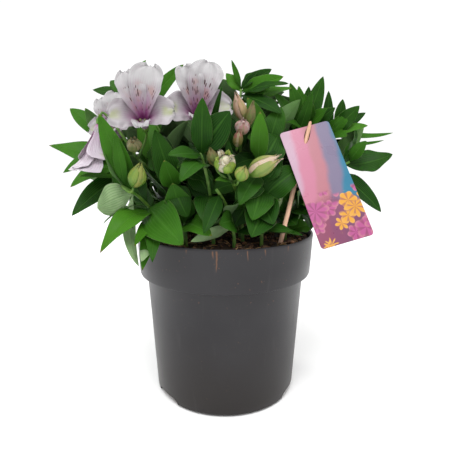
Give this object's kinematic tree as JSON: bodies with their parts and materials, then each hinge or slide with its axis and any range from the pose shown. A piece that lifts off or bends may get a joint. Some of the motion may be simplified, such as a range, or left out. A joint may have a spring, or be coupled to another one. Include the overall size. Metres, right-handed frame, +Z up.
{
  "type": "potted peruvian lily",
  "caption": "Peruvian lily plant in a round plastic nursery pot, with white-lilac flowers, buds, dense leafy shoots and a printed label on a wooden stick.",
  "frame": {"origin": "middle of the pot's underside, on the surface it stands on", "axes": "+Z up, -Y towards the front with the flowers and the label, +X to the right seen from the front"},
  "size_m": [0.322, 0.2386, 0.316],
  "materials": {
    "pot": "satin",
    "soil": "matte",
    "stick": "matte",
    "label": "satin",
    "leaf": "satin",
    "tepal": "matte",
    "bud": "satin"
  },
  "bodies": {
    "root": {"bloom_left": "tepal", "bloom_middle": "tepal", "bloom_nodding": "tepal", "bloom_right": "tepal", "bud_brown": "bud", "bud_cream": "bud", "bud_green": "bud", "bud_olive": "bud", "bud_olive_small": "bud", "bud_opening": "bud", "bud_pink": "bud", "bud_tan": "bud", "bud_wilted": "bud", "bud_yellow": "bud", "label": "label", "label_stick": "stick", "pot": "pot", "shoot_centre": "leaf", "shoot_centre_left": "leaf", "shoot_centre_low": "leaf", "shoot_fill_01": "leaf", "shoot_fill_02": "leaf", "shoot_fill_03": "leaf", "shoot_fill_04": "leaf", "shoot_fill_05": "leaf", "shoot_fill_06": "leaf", "shoot_fill_07": "leaf", "shoot_fill_08": "leaf", "shoot_fill_09": "leaf", "shoot_fill_10": "leaf", "shoot_fill_11": "leaf", "shoot_fill_12": "leaf", "shoot_fill_13": "leaf", "shoot_fill_14": "leaf", "shoot_fill_15": "leaf", "shoot_fill_16": "leaf", "shoot_fill_17": "leaf", "shoot_front_right": "leaf", "shoot_left_low": "leaf", "shoot_left_mid": "leaf", "shoot_left_top": "leaf", "shoot_mid_right": "leaf", "shoot_right": "leaf", "shoot_right_far": "leaf", "shoot_right_low": "leaf", "shoot_right_top": "leaf", "shoot_top": "leaf", "soil": "soil", "stalk_buds_back": "leaf", "stalk_buds_front": "leaf", "stalk_left": "leaf", "stalk_middle": "leaf"}
  },
  "joints": []
}
